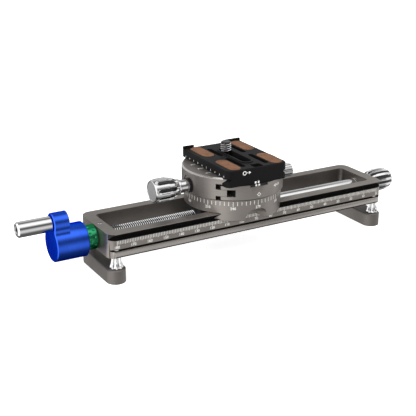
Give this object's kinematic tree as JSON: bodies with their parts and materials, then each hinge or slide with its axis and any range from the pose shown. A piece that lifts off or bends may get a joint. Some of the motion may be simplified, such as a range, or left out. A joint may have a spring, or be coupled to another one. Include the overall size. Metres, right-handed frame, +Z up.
{
  "type": "macro focusing rail",
  "caption": "Crank-driven linear slide for a camera: long windowed rail on two feet, lead screw, round panning clamp with a slotted quick release plate.",
  "frame": {"origin": "floor level, under the middle of the whole object's length and width", "axes": "+X along the rail from the crank to the fluted end knob, +Y to the back, +Z up; the scale and the index marks face -Y"},
  "size_m": [0.2582, 0.0606, 0.0628],
  "materials": {
    "rail_metal": "warm grey anodised, fine brushed grain",
    "drum_metal": "warm grey anodised, turned",
    "foot_metal": "grey anodised, satin",
    "bright_metal": "polished and plated",
    "screw_steel": "turned",
    "bush_brass": "machined",
    "crank_blue": "blue anodised, satin",
    "ring_green": "green anodised, satin",
    "plate_black": "black anodised, matt",
    "pad_brown": "brown grip rubber, lightly streaked",
    "black_plastic": "matt"
  },
  "bodies": {
    "rail": {"rail_frame": "rail_metal", "rail_set_screw": "screw_steel", "bush_left": "bush_brass", "bush_right": "bush_brass", "foot_left": "foot_metal", "foot_right": "foot_metal", "foot_screws": "screw_steel"},
    "crank": {"lead_screw": "screw_steel", "crank_arm": "crank_blue", "crank_ring": "ring_green", "handle_screw": "screw_steel"},
    "handle": {"crank_handle": "bright_metal"},
    "end_lock": {"end_knob": "bright_metal"},
    "front_left_nut": {"nut_front_left": "bright_metal"},
    "back_left_nut": {"nut_back_left": "bright_metal"},
    "front_right_nut": {"nut_front_right": "bright_metal"},
    "back_right_nut": {"nut_back_right": "bright_metal"},
    "carriage": {"carriage_base": "drum_metal", "drive_nut": "bush_brass", "pan_pivot": "screw_steel", "pivot_retainer": "screw_steel"},
    "pan": {"pan_body": "drum_metal", "notch_block": "black_plastic", "jaw_guide_pins": "screw_steel"},
    "jaw": {"clamp_jaw": "drum_metal", "clamp_washer": "black_plastic"},
    "clamp": {"clamp_knob": "bright_metal"},
    "pan_lock": {"pan_lock_knob": "bright_metal"},
    "plate": {"qr_plate": "plate_black", "grip_pads": "pad_brown"},
    "mount_screw": {"camera_screw": "screw_steel"}
  },
  "joints": [
    {"name": "crank_turn", "type": "hinge", "parent": "rail", "child": "crank", "pos_m": [-0.0838, 0, 0.0223], "axis": [-1, 0, 0], "range_deg": [-13826, 11522]},
    {"name": "carriage_slide", "type": "slide", "parent": "rail", "child": "carriage", "axis": [1, 0, 0], "range_m": [-0.048, 0.04]},
    {"name": "handle_spin", "type": "hinge", "parent": "crank", "child": "handle", "pos_m": [-0.1094, -0.00123, 0.03504], "axis": [1, 0, 0], "continuous": true},
    {"name": "end_lock_turn", "type": "hinge", "parent": "rail", "child": "end_lock", "pos_m": [0.1062, 0, 0.0223], "axis": [1, 0, 0], "range_deg": [0, 360]},
    {"name": "front_left_nut_turn", "type": "hinge", "parent": "rail", "child": "front_left_nut", "pos_m": [-0.0787, -0.0175, 0.0083], "axis": [0, 0, 1], "range_deg": [0, 360]},
    {"name": "back_left_nut_turn", "type": "hinge", "parent": "rail", "child": "back_left_nut", "pos_m": [-0.0787, 0.0175, 0.0083], "axis": [0, 0, 1], "range_deg": [0, 360]},
    {"name": "front_right_nut_turn", "type": "hinge", "parent": "rail", "child": "front_right_nut", "pos_m": [0.1011, -0.0175, 0.0083], "axis": [0, 0, 1], "range_deg": [0, 360]},
    {"name": "back_right_nut_turn", "type": "hinge", "parent": "rail", "child": "back_right_nut", "pos_m": [0.1011, 0.0175, 0.0083], "axis": [0, 0, 1], "range_deg": [0, 360]},
    {"name": "pan_turn", "type": "hinge", "parent": "carriage", "child": "pan", "pos_m": [0.0064, 0, 0.0379], "axis": [0, 0, 1], "continuous": true},
    {"name": "clamp_jaw_slide", "type": "slide", "parent": "pan", "child": "jaw", "axis": [-1, 0, 0], "range_m": [0, 0.0015]},
    {"name": "clamp_knob_turn", "type": "hinge", "parent": "jaw", "child": "clamp", "pos_m": [-0.0229, 0, 0.04235], "axis": [-1, 0, 0], "range_deg": [0, 676]},
    {"name": "pan_lock_turn", "type": "hinge", "parent": "pan", "child": "pan_lock", "pos_m": [0.0357, 0, 0.04065], "axis": [1, 0, 0], "range_deg": [0, 360]},
    {"name": "plate_slide", "type": "slide", "parent": "pan", "child": "plate", "axis": [0, 1, 0], "range_m": [-0.012, 0.012]},
    {"name": "camera_screw_turn", "type": "hinge", "parent": "plate", "child": "mount_screw", "pos_m": [0.0064, 0.0077, 0.05652], "axis": [0, 0, 1], "continuous": true}
  ],
  "couplings": [
    {"joint": "crank_turn", "follows": "carriage_slide", "rad_per_m": 5026.5},
    {"joint": "clamp_knob_turn", "follows": "clamp_jaw_slide", "rad_per_m": 7854}
  ]
}
